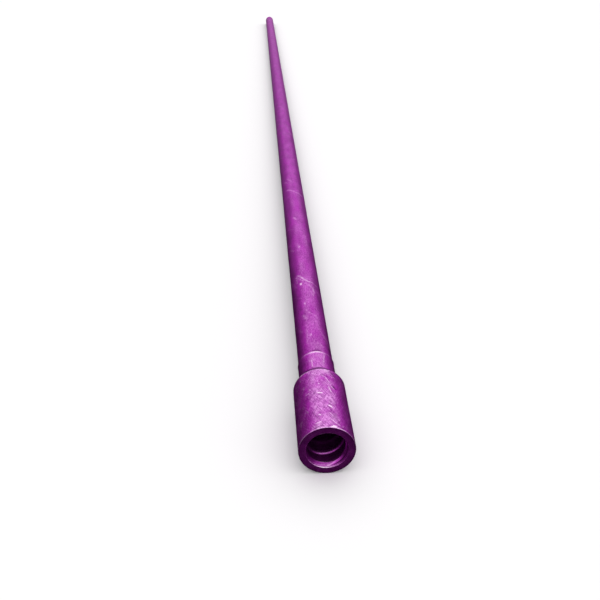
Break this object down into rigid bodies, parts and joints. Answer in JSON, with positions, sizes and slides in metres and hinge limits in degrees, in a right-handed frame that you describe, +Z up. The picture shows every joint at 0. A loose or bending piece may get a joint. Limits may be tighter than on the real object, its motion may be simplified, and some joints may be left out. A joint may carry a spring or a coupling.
{
  "type": "drill pipe",
  "caption": "Hollow round drill rod with a threaded socket at one end and a coarse left-hand threaded pin at the other, for passing rotation, blows and flushing fluid down a drill string.",
  "frame": {"origin": "on the rod's axis, in the plane of the socket's mouth", "axes": "+Y along the axis from the socket's mouth to the pin's nose, +Z up as the rod lies"},
  "size_m": [0.065, 4.27, 0.065],
  "materials": {
    "purple_paint": "semi-gloss paint over shot-blasted steel, with scuffed edges"
  },
  "bodies": {
    "root": {"box_end": "purple_paint", "bar": "purple_paint", "pin_end": "purple_paint"}
  },
  "joints": []
}
